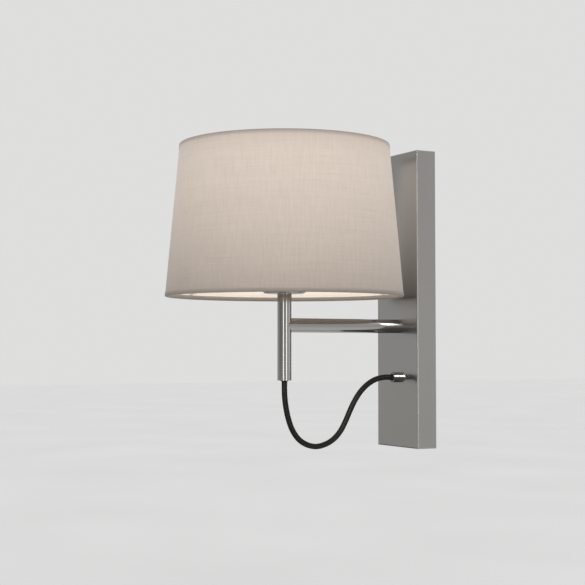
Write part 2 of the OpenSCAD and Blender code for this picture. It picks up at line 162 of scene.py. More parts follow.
FLEX_R = 2.8 * MM
FLEX_ROUTE = [(0, y * MM, z * MM) for y, z in (
    (-152, -82), (-152, -90), (-151.5, -99), (-150, -109), (-147.5, -119),
    (-143.5, -129), (-137, -138), (-128, -144), (-117, -146.5), (-106, -144.5),
    (-96.5, -139.5), (-89, -132), (-83.5, -123), (-78.5, -113), (-73, -103),
    (-66, -93.5), (-57.5, -86), (-48, -81), (-38, -79), (-29, -79))]
CARRIERS = 12
BRAID_PITCH = 17 * MM
BRAID_DEPTH = 0.16 * MM


def rounded_mouth(radius, mouth, edge, angles):
    """The edge of a turned piece's mouth, rounded from its face to its side, as (radius, y)."""
    turns = [math.radians(a) for a in angles]
    return [(radius - edge + edge * math.sin(a), mouth + edge - edge * math.cos(a)) for a in turns]


def make_collar():
    """Nylon collar that the flex enters the gland through."""
    low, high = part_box("gland_collar")
    mid = centre("gland_collar")
    r = (high.x - low.x) / 2
    bore = FLEX_R
    outline = [(bore, high.y), (bore, low.y + 0.2 * MM), (bore + 0.15 * MM, low.y)]
    outline += rounded_mouth(r, low.y, 0.4 * MM, (0, 22, 45, 67, 90))
    outline += [(r, high.y)]
    collar = lathe_y("gland_collar_moulded", outline, "lamp", mid.x, mid.z, 64, None, 50)
    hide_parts("gland_collar")
    return collar


def braid_height(turn, along):
    """How proud the braid stands, 0 to 1. Two families of strands go over and under each other."""
    u = turn * CARRIERS + along / BRAID_PITCH * CARRIERS
    v = turn * CARRIERS - along / BRAID_PITCH * CARRIERS
    over = (math.floor(u) + math.floor(v)) % 2 == 0
    across, run = (u % 1, v % 1) if over else (v % 1, u % 1)
    return math.sin(math.pi * across) ** 0.7 * (0.55 + 0.45 * math.sin(math.pi * run))


def make_flex():
    line, length = smooth_path(FLEX_ROUTE, 0.28 * MM)
    around = 96
    points, heights = [], []
    step = length / (len(line) - 1)
    for i, p in enumerate(line):
        tangent = (line[min(i + 1, len(line) - 1)] - line[max(i - 1, 0)]).normalized()
        side = Vector((1, 0, 0))
        up = tangent.cross(side).normalized()
        for k in range(around):
            turn = k / around
            h = braid_height(turn, i * step)
            a = 2 * math.pi * turn
            r = FLEX_R - BRAID_DEPTH + BRAID_DEPTH * h
            points.append(p + r * (math.cos(a) * side + math.sin(a) * up))
            heights.append(h)
    faces = ring_faces(len(line), around)
    faces = [tuple(reversed(f)) for f in faces]
    faces.append(tuple(range(around)))
    faces.append(tuple(reversed(range((len(line) - 1) * around, len(line) * around))))
    flex = add_mesh("braided_flex", points, faces, "lamp", 60)
    proud = flex.data.attributes.new("proud", "FLOAT", "POINT")
    proud.data.foreach_set("value", heights)
    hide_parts("flex")
    return flex


COLLAR = make_collar()
FLEX = make_flex()


# ---------------------------------------------------------------- shade

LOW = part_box("bottom_hem")
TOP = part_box("top_hem")
R_LOW = (LOW[1].x - LOW[0].x) / 2
R_TOP = (TOP[1].x - TOP[0].x) / 2
Z_LOW = LOW[0].z
Z_TOP = TOP[1].z
SLOPE = (R_LOW - R_TOP) / (Z_TOP - Z_LOW)
HEM_H = LOW[1].z - LOW[0].z
HEM_T = 0.3 * MM
HEM_HALF = 2.45 * MM
CLOTH_T = 0.45 * MM
SEAM_ANGLE = math.radians(97)
SEAM_W = 8 * MM


def outer_radius(z):
    return R_LOW - SLOPE * (z - Z_LOW)


def ease(t):
    t = min(max(t, 0.0), 1.0)
    return t * t * (3 - 2 * t)


def seam_lift(angle, radius):
    """The cloth's overlap at the back: its outer edge is folded under, and its inner side rises slowly."""
    along = ((angle - SEAM_ANGLE + math.pi) % (2 * math.pi) - math.pi) * radius
    if along < -SEAM_W - 3 * MM or along > 0.5 * MM:
        return 0.0
    return 0.28 * MM * ease((along + SEAM_W + 3 * MM) / (4 * MM)) * (1 - ease(along / (0.5 * MM)))


def wobble(angle, z, size, seed):
    """Hand-made unevenness that closes round the shade."""
    return size * noise.noise(Vector((1.6 * math.cos(angle), 1.6 * math.sin(angle), z * 14 + seed)))


def angle_steps(count):
    """Even steps round the shade, closer together at the seam."""
    steps = [2 * math.pi * k / count for k in range(count)]
    near = [SEAM_ANGLE + d * MM / R_TOP for d in
            (-11, -10, -9.2, -8.6, -8, -7.4, -6, -4, -2, -1, -0.3, 0, 0.12, 0.25, 0.37, 0.5, 0.8)]
    return sorted(set(round(a, 7) for a in steps + near))


def make_cloth():
    """The drum's cloth, an outer and an inner skin, with its overlap at the back."""
    angles = angle_steps(288)
    around = len(angles)
    rows = 76
    low, high = Z_LOW + 0.5 * MM, Z_TOP - 0.5 * MM
    points = []
    for side in (0, 1):
        for i in range(rows):
            z = low + (high - low) * (i if side == 0 else rows - 1 - i) / (rows - 1)
            for a in angles:
                r = outer_radius(z) - HEM_T - 0.05 * MM
                lift = seam_lift(a, r)
                if side == 0:
                    r += lift + wobble(a, z, 0.12 * MM, 3.1) * ease(min(z - low, high - z) / (8 * MM))
                else:
                    r += lift * 0.2 - CLOTH_T
                points.append((r * math.cos(a), STEM_Y + r * math.sin(a), z))
    cloth = add_mesh("shade_cloth", points, ring_faces(2 * rows, around, True), "shade", 50)
    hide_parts("shade_fabric")
    return cloth


def make_hem(name, node, edge_z, edge_r, up):
    """Bias tape rolled over an edge: outer leg, rounded turn and inner leg, with a lapped end."""
    leg = HEM_H
    legs = (1, 0.8, 0.6, 0.45)
    t = HEM_T * 1.25
    proud = 0.02 * MM
    turn = 1.0 * MM
    turn_h = 0.95 * MM

    def at(inset, rise):
        return (edge_r - inset - up * SLOPE * rise, edge_z + up * rise)

    outline = [at(-proud, rise * leg) for rise in legs]
    for i in range(9):
        a = math.pi * i / 8
        outline.append(at(HEM_HALF - HEM_HALF * math.cos(a) - proud, turn - turn_h * math.sin(a)))
    outline += [at(2 * HEM_HALF, rise * leg) for rise in reversed(legs)]
    outline += [at(2 * HEM_HALF - t, rise * leg) for rise in legs]
    for i in range(9):
        a = math.pi * (1 - i / 8)
        outline.append(at(HEM_HALF - (HEM_HALF - t) * math.cos(a),
                          turn + t * 0.4 - (turn_h - t * 0.4) * math.sin(a)))
    outline += [at(t, rise * leg) for rise in reversed(legs)]
    if up < 0:
        outline.reverse()
    angles = angle_steps(288)
    around = len(angles)
    points = []
    for r, z in outline:
        for a in angles:
            ripple = wobble(a, z, 0.10 * MM, 7.7 + up)
            lap = 0.22 * MM * (seam_lift(a + 0.1, R_LOW) / (0.28 * MM))
            cut = wobble(a, 0.0, 0.22 * MM, 1.5 + up) * ease((abs(z - edge_z) / leg - 0.5) * 2)
            rr = r + ripple + lap
            points.append((rr * math.cos(a), STEM_Y + rr * math.sin(a), z + cut))
    hem = add_mesh(name, points, ring_faces(len(outline), around, True), "shade", 60)
    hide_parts(node)
    return hem


CLOTH = make_cloth()
HEM_LOW = make_hem("bottom_hem_tape", "bottom_hem", Z_LOW, R_LOW, 1)
HEM_TOP = make_hem("top_hem_tape", "top_hem", Z_TOP, R_TOP, -1)


def make_welds():
    """Small weld beads where the three wires meet the bottom ring and the fitter."""
    ring_low, ring_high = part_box("bottom_ring")
    fitter_low, fitter_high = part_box("fitter_ring")
    arms_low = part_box("spider_arms")[0].z
    r_out = (ring_high.x - ring_low.x) / 2 - 1.5 * MM
    r_in = (fitter_high.x - fitter_low.x) / 2 - 1.2 * MM
    points, faces = [], []
    for turn in (90, 210, 330):
        a = math.radians(turn)
        beads = ((r_out, arms_low + 0.3 * MM, 1.9 * MM), (r_in, fitter_low.z - 0.4 * MM, 1.7 * MM))
        for r, z, size in beads:
            base = len(points)
            rows, around = 9, 16
            for i in range(rows):
                lat = math.pi * (i + 0.5) / rows - math.pi / 2
                for k in range(around):
                    lon = 2 * math.pi * k / around
                    wide = math.cos(lat)
                    p = Vector((wide * math.cos(lon), wide * math.sin(lon), math.sin(lat)))
                    grow = 1 + 0.16 * noise.noise(p * 1.7 + Vector((turn, r * 90, 0)))
                    p = Vector((p.x * 1.15, p.y * 1.0, p.z * 0.8)) * size * grow
                    out = r + p.x
                    points.append((out * math.cos(a) - p.y * math.sin(a),
                                   STEM_Y + out * math.sin(a) + p.y * math.cos(a), z + p.z))
            faces += [tuple(base + v for v in f) for f in ring_faces(rows, around)]
            faces.append(tuple(base + v for v in reversed(range(around))))
            faces.append(tuple(base + (rows - 1) * around + v for v in range(around)))
    welds = add_mesh("spider_welds", points, faces, "shade", 80)
    return welds


WELDS = make_welds()


# ---------------------------------------------------------------- turned pieces

def thread_shift(pitch, depth, z_from, z_to, fade=2 * MM):
    def shift(angle, r, z):
        share = ease((z - z_from) / fade) * ease((z_to - z) / fade)
        wave = 0.5 + 0.5 * math.cos(2 * math.pi * (z / pitch - angle / (2 * math.pi)))
        return -depth * share * (1 - wave)
    return shift


def spaced(low, high, step):
    count = max(2, round((high - low) / step))
    return [low + (high - low) * i / count for i in range(count + 1)]


def spaced_line(start, end, count):
    return [(start[0] + (end[0] - start[0]) * i / count, start[1] + (end[1] - start[1]) * i / count)
            for i in range(count + 1)]


def make_skirt():
    """Lampholder's outer skirt: a collar on the cup, and the thread that the shade ring runs on."""
    low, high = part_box("holder_skirt")
    collar_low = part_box("holder_cup")[1].z
    collar_r = (high.x - low.x) / 2
    r = 19.5 * MM
    bore = 14.6 * MM
    collar_high = collar_low + 2 * MM
    outline = [(bore, low.z), (r - 0.6 * MM, low.z), (r, low.z + 0.6 * MM), (r, collar_low),
               (collar_r - 0.5 * MM, collar_low)]
    outline += arc(collar_r - 0.5 * MM, collar_low + 0.5 * MM, 0.5 * MM, -90, 0, 4)
    outline += arc(collar_r - 0.8 * MM, collar_high - 0.8 * MM, 0.8 * MM, 0, 90, 4)
    outline += [(r + 0.2 * MM, collar_high)]
    outline += [(r, z) for z in spaced(collar_high + 0.2 * MM, high.z - 1 * MM, 0.22 * MM)]
    outline += arc(r - 1 * MM, high.z - 1 * MM, 1 * MM, 12, 90, 5)
    outline += arc(bore + 0.8 * MM, high.z - 0.8 * MM, 0.8 * MM, 90, 180, 4)
    cut = thread_shift(2.9 * MM, 0.8 * MM, collar_high + 1.4 * MM, high.z - 1.2 * MM)

    def shift(angle, radius, z):
        return cut(angle, radius, z) if radius > r - 0.3 * MM and z > collar_high else 0

    skirt = lathe("holder_skirt_threaded", outline, "lamp", 128, shift, 50)
    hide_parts("holder_skirt")
    return skirt


def make_shade_ring():
    """Shade ring: fluted for the fingers, threaded inside, with a plain ledge."""
    low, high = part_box("shade_ring")
    r_out = (high.x - low.x) / 2
    bore = 19.55 * MM
    ledge = low.z + 1.5 * MM
    outline = [(bore, low.z + 0.5 * MM)] + arc(bore + 0.5 * MM, low.z + 0.5 * MM, 0.5 * MM, 180, 270, 3)
    outline += arc(r_out - 0.5 * MM, low.z + 0.5 * MM, 0.5 * MM, -90, 0, 4)
    outline += [(r_out, ledge)] + [(r_out, z) for z in spaced(ledge + 0.2 * MM, high.z - 1 * MM, 0.5 * MM)]
    outline += arc(r_out - 1 * MM, high.z - 1 * MM, 1 * MM, 0, 90, 5)
    outline += arc(bore + 0.5 * MM, high.z - 0.5 * MM, 0.5 * MM, 90, 180, 3)
    outline += [(bore, z) for z in reversed(spaced(low.z + 1 * MM, high.z - 1 * MM, 0.3 * MM))]
    inner = thread_shift(2.9 * MM, -0.45 * MM, low.z + 0.6 * MM, high.z - 0.6 * MM, 1 * MM)

    def shift(angle, radius, z):
        if radius < bore + 0.05 * MM:
            return inner(angle, radius, z)
        if radius > r_out - 0.9 * MM:
            grip = max(0.0, math.cos(24 * angle)) ** 2
            return -0.9 * MM * grip * ease((z - ledge) / (0.6 * MM))
        return 0

    ring = lathe("shade_ring_fluted", outline, "ring", 288, shift, 50)
    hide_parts("shade_ring")
    return ring


def make_cup():
    """Spun cup under the lampholder."""
    low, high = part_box("holder_cup")
    r = (high.x - low.x) / 2
    t = 1 * MM
    bore = 5 * MM
    outline = [(bore, low.z)] + arc(r - 2.4 * MM, low.z + 2.4 * MM, 2.4 * MM, -90, 0, 10)
    outline += spaced_line((r, low.z + 3 * MM), (r, high.z - 0.4 * MM), 6)
    outline += arc(r - 0.4 * MM, high.z - 0.4 * MM, 0.4 * MM, 0, 90, 3)
    outline += [(r - t, high.z)] + spaced_line((r - t, high.z - 0.3 * MM), (r - t, low.z + 2.4 * MM), 6)
    outline += arc(r - 2.4 * MM, low.z + 2.4 * MM, 1.4 * MM, 0, -90, 8)
    outline += [(bore, low.z + t)]
    cup = lathe("holder_cup_spun", outline, "lamp", 128, None, 45)
    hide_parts("holder_cup")
    return cup


def make_bulb_glass():
    """Globe on a neck: a smooth curve rises from the neck and meets the ball along its own slope."""
    low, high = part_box("bulb_glass")
    r = (high.x - low.x) / 2
    ball = high.z - r
    wall = 0.8 * MM
    foot_r = 11.4 * MM
    neck = 13.6 * MM
    waist = low.z + 3.2 * MM
    sink = 0.30
    blend_z = ball - sink * r
    blend_r = math.sqrt(r * r - (sink * r) ** 2)
    slope_start = 0.12
    slope_end = sink / math.sqrt(1 - sink ** 2)
    h = blend_z - waist
    rows = 40
    outer = [(foot_r, low.z), (foot_r, low.z + 2 * MM), (neck - 0.5 * MM, low.z + 2.6 * MM)]
    for i in range(rows):
        t = i / rows
        rise = 3 * t * t - 2 * t ** 3
        bend = slope_start * (t ** 3 - 2 * t * t + t) + slope_end * (t ** 3 - t * t)
        outer.append((neck * (1 - rise) + blend_r * rise + h * bend, waist + h * t))
    outer += arc(0, ball, r, -math.degrees(math.asin(sink)), 89.6, 48)
    inner = [(max(0.02 * MM, x - wall), z - (wall if z > ball else 0)) for x, z in reversed(outer)]
    inner = [(x, z) for x, z in inner if z > low.z + 3 * MM]
    inner += [(foot_r - 1 * MM, low.z + 2 * MM), (foot_r - 1 * MM, low.z)]
    glass = lathe("bulb_envelope", outer + inner, "bulb", 96, None, 60)
    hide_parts("bulb_glass")
    return glass


def make_bulb_cap():
    """Rolled screw cap of the bulb."""
    low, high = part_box("bulb_cap")
    r = (high.x - low.x) / 2
    root = 12.3 * MM
    wall = 0.5 * MM
    bore = 9 * MM
    outline = [(bore, low.z), (root - 0.6 * MM, low.z), (root, low.z + 0.7 * MM)]
    outline += [(r, z) for z in spaced(low.z + 1.1 * MM, high.z - 3 * MM, 0.25 * MM)]
    outline += [(root, high.z - 2.2 * MM), (root, high.z - 0.2 * MM), (root - 0.2 * MM, high.z)]
    outline += [(root - wall, high.z - 0.2 * MM), (root - wall, low.z + 1 * MM), (bore, low.z + 0.5 * MM)]
    cut = thread_shift(3.6 * MM, 0.75 * MM, low.z + 0.8 * MM, high.z - 2.8 * MM, 1.6 * MM)

    def shift(angle, radius, z):
        if radius <= r - 0.1 * MM:
            return 0
        ends = z > high.z - 3.6 * MM or z < low.z + 1.6 * MM
        return cut(angle, radius, z) - (0.3 * MM if ends else 0)

    cap = lathe("bulb_cap_rolled", outline, "bulb", 128, shift, 55)
    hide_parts("bulb_cap")
    return cap


def make_gland():
    """Polished gland: a plain barrel with a rounded mouth, seated on the plate, and a threaded tail."""
    low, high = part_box("flex_gland")
    mid = centre("flex_gland")
    barrel = (high.x - low.x) / 2
    mouth = low.y
    seat = -22 * MM
    tail = 4 * MM
    bore = FLEX_R + 0.05 * MM
    edge = 0.35 * MM
    outline = [(bore, mouth + 0.3 * MM), (bore + 0.3 * MM, mouth), (barrel - edge, mouth)]
    outline += rounded_mouth(barrel, mouth, edge, (22, 45, 67, 90))
    outline += [(barrel, y) for y in spaced(mouth + 0.8 * MM, seat - 0.5 * MM, 1 * MM)]
    outline += [(barrel, seat - 0.15 * MM), (barrel - 0.15 * MM, seat)]
    outline += [(tail, seat)] + [(tail, y) for y in spaced(seat + 0.4 * MM, high.y - 0.4 * MM, 0.12 * MM)]
    outline += [(tail - 0.4 * MM, high.y), (bore, high.y)]
    cut = thread_shift(1.0 * MM, 0.35 * MM, seat + 0.5 * MM, high.y - 0.4 * MM, 0.6 * MM)

    def shift(angle, radius, y):
        return cut(angle, radius, y) if abs(radius - tail) < 0.01 * MM and y > seat + 0.2 * MM else 0

    gland = lathe_y("flex_gland_turned", outline, "lamp", mid.x, mid.z, 96, shift, 50)
    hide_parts("flex_gland")
    return gland


def make_bush():
    """Nylon bush in the stem's foot, with a rounded lip that the flex leaves through."""
    low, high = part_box("stem_bush")
    r = (high.x - low.x) / 2 - 0.03 * MM
    lip_r = 3.7 * MM
    lip_top = low.z + 1 * MM
    bore = FLEX_R
    outline = [(bore, high.z), (bore, low.z + 0.35 * MM), (bore + 0.3 * MM, low.z + 0.02 * MM)]
    outline += arc(lip_r - 0.45 * MM, low.z + 0.45 * MM, 0.45 * MM, -90, 0, 5)
    outline += [(lip_r, lip_top), (r - 0.3 * MM, lip_top), (r, lip_top + 0.3 * MM)]
    outline += [(r, high.z - 0.3 * MM), (r - 0.3 * MM, high.z)]
    bush = lathe("stem_bush_moulded", outline, "lamp", 96, None, 45)
    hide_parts("stem_bush")
    return bush


SKIRT = make_skirt()
RING = make_shade_ring()
CUP = make_cup()
GLASS = make_bulb_glass()
CAP = make_bulb_cap()
GLAND = make_gland()
BUSH = make_bush()


# ---------------------------------------------------------------- materials

class Shader:
    """A material's node tree, with short calls for the patterns that the finishes share."""

    def __init__(self, name):
        self.material = bpy.data.materials.new(name)
        self.material.use_nodes = True
        self.tree = self.material.node_tree
        self.tree.nodes.clear()
        self.out = self.node("ShaderNodeOutputMaterial")
        self.bsdf = self.node("ShaderNodeBsdfPrincipled")
        self.link(self.bsdf.outputs["BSDF"], self.out.inputs["Surface"])
        self.place = self.node("ShaderNodeTexCoord").outputs["Object"]

    def node(self, kind, **settings):
        made = self.tree.nodes.new(kind)
        for key, value in settings.items():
            setattr(made, key, value)
        return made

    def link(self, source, target):
        self.tree.links.new(source, target)

    def set(self, **values):
        for key, value in values.items():
            self.bsdf.inputs[key.replace("_", " ")].default_value = value

    def stretched(self, scale, source=None, offset=(0, 0, 0), turn=(0, 0, 0)):
        made = self.node("ShaderNodeMapping")
        made.inputs["Scale"].default_value = scale
        made.inputs["Location"].default_value = offset
        made.inputs["Rotation"].default_value = turn
        self.link(source or self.place, made.inputs["Vector"])
        return made.outputs["Vector"]

    def noise(self, scale, detail=3, rough=0.55, source=None):
        made = self.node("ShaderNodeTexNoise")
        made.inputs["Scale"].default_value = scale
        made.inputs["Detail"].default_value = detail
        made.inputs["Roughness"].default_value = rough
        self.link(source or self.place, made.inputs["Vector"])
        return made.outputs["Fac"]

    def ramp(self, source, *stops):
        made = self.node("ShaderNodeValToRGB")
        band = made.color_ramp
        band.elements[0].position, band.elements[0].color = stops[0][0], grey(stops[0][1])
        band.elements[1].position, band.elements[1].color = stops[-1][0], grey(stops[-1][1])
        for at, value in stops[1:-1]:
            band.elements.new(at).color = grey(value)
        self.link(source, made.inputs["Fac"])
        return made.outputs["Color"]

    def maths(self, operation, a, b=None, clamp=False):
        made = self.node("ShaderNodeMath", operation=operation, use_clamp=clamp)
        for socket, value in zip(made.inputs, (a, b)):
            if value is None:
                continue
            if isinstance(value, (int, float)):
                socket.default_value = value
            else:
                self.link(value, socket)
        return made.outputs["Value"]

    def blend(self, kind, share, a, b):
        made = self.node("ShaderNodeMix", data_type="RGBA", blend_type=kind)
        if isinstance(share, (int, float)):
            made.inputs["Factor"].default_value = share
        else:
            self.link(share, made.inputs["Factor"])
        for socket, value in ((made.inputs[6], a), (made.inputs[7], b)):
            if isinstance(value, tuple):
                socket.default_value = value
            else:
                self.link(value, socket)
        return made.outputs[2]

    def bump(self, height, strength, distance, under=None):
        made = self.node("ShaderNodeBump")
        made.inputs["Strength"].default_value = strength
        made.inputs["Distance"].default_value = distance
        self.link(height, made.inputs["Height"])
        if under:
            self.link(under, made.inputs["Normal"])
        return made.outputs["Normal"]

    def split(self, source=None):
        made = self.node("ShaderNodeSeparateXYZ")
        self.link(source or self.place, made.inputs["Vector"])
        return made.outputs

    def glow(self, colour, strength, reflected, seen=1.0):
        """Light given off, the tint of it that shows in metal, and the share of it that the eye sees."""
        path = self.node("ShaderNodeLightPath").outputs
        mirrored = self.blend("MULTIPLY", 1.0, colour, grey(reflected))
        shown = self.blend("MIX", path["Is Glossy Ray"], colour, mirrored)
        if seen < 1:
            dimmed = self.blend("MULTIPLY", 1.0, colour, grey(seen))
            shown = self.blend("MIX", path["Is Camera Ray"], shown, dimmed)
        self.into(Emission_Color=shown)
        self.set(Emission_Strength=strength)

    def into(self, **sockets):
        for key, source in sockets.items():
            self.link(source, self.bsdf.inputs[key.replace("_", " ")])


def grey(value):
    return (*value, 1) if isinstance(value, tuple) else (value, value, value, 1)


def shade_of(colour, by):
    return tuple(min(1.0, c * by) for c in colour)


def brushed_metal(name, colour, rough, grain, depth):
    """Metal with a straight brushed grain: grain is the noise's stretch along X, Y and Z."""
    s = Shader(name)
    s.set(Metallic=1.0)
    fine = s.noise(1.0, 2, 0.6, s.stretched(grain))
    broad = s.noise(1.0, 3, 0.55, s.stretched(tuple(g * 0.22 for g in grain), None, (3, 7, 1)))
    cloud = s.noise(9.0, 3, 0.5)
    tone = s.ramp(fine, (0.25, shade_of(colour, 0.955)), (0.75, shade_of(colour, 1.035)))
    tone = s.blend("MULTIPLY", 0.45, tone, s.ramp(cloud, (0.3, (0.93, 0.92, 0.90)), (0.7, (1, 1, 1))))
    s.into(Base_Color=tone)
    rough_map = s.ramp(fine, (0.2, rough * 0.85), (0.8, rough * 1.15))
    smudge = s.ramp(cloud, (0.35, 0.92), (0.7, 1.1))
    s.into(Roughness=s.maths("MULTIPLY", rough_map, smudge))
    if depth:
        s.into(Normal=s.bump(broad, depth * 0.5, 0.0001, s.bump(fine, depth, 0.00005)))
    return s.material


def plain_metal(name, colour, rough, spots, depth):
    """Bright plated or bare metal with a soft unevenness, fine scratches and duller patches."""
    s = Shader(name)
    s.set(Metallic=1.0)
    patch = s.noise(spots, 4, 0.6)
    fine = s.noise(900.0, 2, 0.5)
    s.into(Base_Color=s.ramp(patch, (0.3, shade_of(colour, 0.88)), (0.7, shade_of(colour, 1.06))))
    s.into(Roughness=s.ramp(patch, (0.3, rough * 1.35), (0.7, rough * 0.8)))
    s.into(Normal=s.bump(fine, depth, 0.00015))
    return s.material


def moulded(name, colour, rough, sheen=0.0, depth=0.15, through=0.0):
    """Moulded plastic with a fine texture and a faint mottle."""
    s = Shader(name)
    s.set(IOR=1.5, Sheen_Weight=sheen)
    if through:
        s.set(Subsurface_Weight=through, Subsurface_Scale=0.002)
    mottle = s.noise(35.0, 4, 0.6)
    grain = s.noise(1400.0, 2, 0.6)
    s.into(Base_Color=s.ramp(mottle, (0.3, shade_of(colour, 0.94)), (0.7, shade_of(colour, 1.04))))
    s.into(Roughness=s.ramp(mottle, (0.3, rough * 1.1), (0.7, rough * 0.9)))
    s.into(Normal=s.bump(grain, depth, 0.0002))
    return s.material


def braided(name):
    """Charcoal textile braid: painted shade darkens it between the strands, single yarns along each, and a
    soft sheen.
    """
    s = Shader(name)
    proud = s.node("ShaderNodeAttribute", attribute_name="proud").outputs["Fac"]
    yarn = s.noise(1.0, 2, 0.6, s.stretched((5200, 2600, 2600)))
    # painted shade: the colour darkens where the braid stands least proud, between the strands
    tone = s.ramp(proud, (0.05, 0.001), (0.5, (0.007, 0.0067, 0.0063)), (0.95, (0.034, 0.0315, 0.029)))
    tone = s.blend("MULTIPLY", 0.8, tone, s.ramp(yarn, (0.3, 0.55), (0.7, 1.0)))
    s.into(Base_Color=tone)
    s.set(Sheen_Weight=0.02, Sheen_Roughness=0.4, IOR=1.45, Specular_IOR_Level=0.28)
    s.into(Roughness=s.ramp(yarn, (0.3, 0.55), (0.7, 0.38)))
    s.into(Normal=s.bump(yarn, 0.35, 0.0002))
    return s.material


def hidden_braid(name):
    """The same braid where the flex runs inside the stem and the plate: crossed diagonal strands, with
    painted shade between them.
    """
    s = Shader(name)
    height = None
    for turn in (0.7, -0.7):
        wave = s.node("ShaderNodeTexWave", wave_type="BANDS", bands_direction="Z", wave_profile="SIN")
        wave.inputs["Scale"].default_value = 190.0
        wave.inputs["Distortion"].default_value = 0.6
        s.link(s.stretched((1, 1, 1), None, (0, 0, 0), (turn, turn, 0)), wave.inputs["Vector"])
        height = wave.outputs["Fac"] if height is None else s.maths("MAXIMUM", height, wave.outputs["Fac"])
    # painted shade: darker where the strands' height is low, between them
    s.into(Base_Color=s.ramp(height, (0.2, (0.006, 0.006, 0.007)), (0.9, (0.036, 0.035, 0.035))))
    s.set(Sheen_Weight=0.25, IOR=1.45)
    s.into(Roughness=s.ramp(height, (0.2, 0.8), (0.9, 0.58)))
    s.into(Normal=s.bump(height, 0.5, 0.0003))
    return s.material


def weave_height(s, warp, weft):
    """Plain weave of uneven linen threads on a drum: warp runs up, weft runs round."""
    parts = s.split()
    x = parts["X"]
    y = s.maths("SUBTRACT", parts["Y"], STEM_Y)
    turn = s.maths("ARCTAN2", y, x)
    wander = s.noise(1.0, 2, 0.5, s.stretched((55, 55, 9)))
    wander_z = s.noise(1.0, 2, 0.5, s.stretched((9, 9, 70)))
    along = s.maths("ADD", s.maths("MULTIPLY", turn, warp), s.maths("MULTIPLY", wander, 5.0))
    up = s.maths("ADD", s.maths("MULTIPLY", parts["Z"], weft), s.maths("MULTIPLY", wander_z, 7.0))
    warp_thread = s.maths("ABSOLUTE", s.maths("SINE", along))
    weft_thread = s.maths("ABSOLUTE", s.maths("SINE", up))
    both = s.maths("MULTIPLY", s.maths("SINE", along), s.maths("SINE", up))
    over = s.maths("GREATER_THAN", both, 0.0)
    low = s.maths("MULTIPLY", s.maths("SUBTRACT", 1.0, over), weft_thread)
    threads = s.maths("ADD", s.maths("MULTIPLY", over, warp_thread), low)
    uneven_up = s.noise(1.0, 3, 0.6, s.stretched((600, 600, 22)))
    uneven_round = s.noise(1.0, 3, 0.6, s.stretched((22, 22, 680)))
    slubs = s.maths("ADD", s.maths("MULTIPLY", uneven_up, 0.55), s.maths("MULTIPLY", uneven_round, 0.45))
    return threads, slubs


def linen(name):
    """Linen shade cloth, warm grey, with a painted glow, brightest where the bulb is near, and painted shade
    between its threads.
    """
    s = Shader(name)
    threads, slubs = weave_height(s, 330.0, 3300.0)
    mottle = s.noise(26.0, 4, 0.6)
    base = s.ramp(slubs, (0.31, (0.366, 0.313, 0.272)), (0.69, (0.430, 0.373, 0.328)))
    # painted shade: the colour darkens in the gaps between threads
    base = s.blend("MULTIPLY", 0.4, base, s.ramp(threads, (0.0, (0.80, 0.78, 0.76)), (0.55, (1, 1, 1))))
    base = s.blend("MULTIPLY", 0.6, base, s.ramp(mottle, (0.3, (0.95, 0.945, 0.94)), (0.7, (1, 1, 1))))
    s.into(Base_Color=base)
    s.set(Roughness=0.9, Sheen_Weight=0.18, Sheen_Roughness=0.55, IOR=1.4)
    s.into(Normal=s.bump(s.maths("ADD", s.maths("MULTIPLY", threads, 0.4), slubs), 0.35, 0.00025))
    # painted glow: light given off by height stands in for the bulb's light coming through the cloth
    height = s.maths("DIVIDE", s.maths("SUBTRACT", s.split()["Z"], Z_LOW), Z_TOP - Z_LOW)
    glow = s.ramp(height, (0.0, 0.055), (0.08, 0.08), (0.2, 0.135), (0.45, 0.22),
                  (0.7, 0.285), (0.86, 0.305), (0.94, 0.27), (1.0, 0.19))
    warm = s.ramp(slubs, (0.31, (1.05, 0.896, 0.769)), (0.69, (1.16, 0.992, 0.858)))
    lit = s.blend("MULTIPLY", 1.0, glow, warm)
    lit = s.blend("MULTIPLY", 0.6, lit, s.ramp(threads, (0.0, 0.86), (0.5, 1.0)))
    # painted reflection: metal sees the painted glow with a cooler, brighter tint
    s.glow(lit, 1.0, (1.12, 1.24, 1.37))
    return s.material


def tape(name):
    """Bias-cut linen tape of the rolled hems, two layers thick, so that little light comes through: a faint
    painted glow stands in for it, and painted shade darkens the folded edges.
    """
    s = Shader(name)
    threads, slubs = weave_height(s, 260.0, 2600.0)
    base = s.ramp(slubs, (0.31, (0.350, 0.304, 0.267)), (0.69, (0.408, 0.357, 0.317)))
    # painted shade: the colour darkens in the gaps between threads
    base = s.blend("MULTIPLY", 0.5, base, s.ramp(threads, (0.0, (0.78, 0.77, 0.76)), (0.55, (1, 1, 1))))
    height = s.maths("DIVIDE", s.maths("SUBTRACT", s.split()["Z"], Z_LOW), Z_TOP - Z_LOW)
    # painted shade: the colour darkens towards the folded edges at the bottom and the top
    painted_fold_shade = s.ramp(height, (0.0, (0.62, 0.60, 0.58)), (0.012, (0.74, 0.73, 0.72)), (0.028, 1.0),
                  (0.972, 1.0), (1.0, (0.66, 0.65, 0.64)))
    s.into(Base_Color=s.blend("MULTIPLY", 1.0, base, painted_fold_shade))
    s.set(Roughness=0.92, Sheen_Weight=0.15, IOR=1.4)
    s.into(Normal=s.bump(s.maths("ADD", s.maths("MULTIPLY", threads, 0.5), slubs), 0.4, 0.00025))
    # painted glow by height stands in for light coming through the tape; metal sees it dimmed
    lit = s.ramp(height, (0.0, 0.0), (0.028, (0.052, 0.045, 0.039)), (0.5, (0.10, 0.09, 0.08)),
                 (0.972, (0.215, 0.184, 0.160)), (1.0, (0.075, 0.064, 0.056)))
    s.glow(lit, 1.0, (0.3, 0.3, 0.3))
    return s.material


